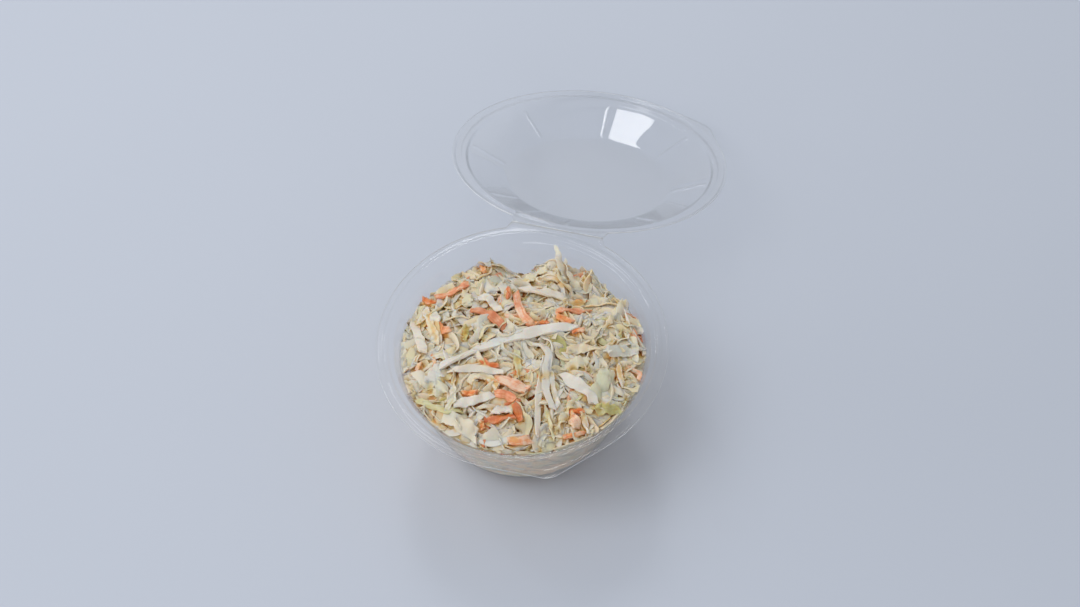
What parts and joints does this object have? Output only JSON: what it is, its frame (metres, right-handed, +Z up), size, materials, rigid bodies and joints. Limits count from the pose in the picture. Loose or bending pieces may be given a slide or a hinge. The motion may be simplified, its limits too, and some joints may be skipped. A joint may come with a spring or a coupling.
{
  "type": "coleslaw in a hinged clear bowl",
  "caption": "Dressed cabbage and carrot coleslaw filling a round clear plastic bowl whose hinged domed lid lies open behind it.",
  "frame": {"origin": "centre of the bowl's flat base, on the surface it stands on", "axes": "+Z up, +Y from the bowl towards the hinge and the open lid, +X along the hinge crease"},
  "size_m": [0.129, 0.2453, 0.0568],
  "materials": {
    "clear_plastic": "clear thermoformed sheet, smooth and glossy",
    "coleslaw": "cream cabbage and orange carrot shreds, wet with white dressing"
  },
  "bodies": {
    "bowl": {"bowl": "clear_plastic", "coleslaw": "coleslaw"},
    "lid": {"lid": "clear_plastic"}
  },
  "joints": [
    {"name": "lid_hinge", "type": "hinge", "parent": "bowl", "child": "lid", "pos_m": [0, 0.06442, 0.05215], "axis": [1, 0, 0], "range_deg": [0, 203.8]}
  ]
}
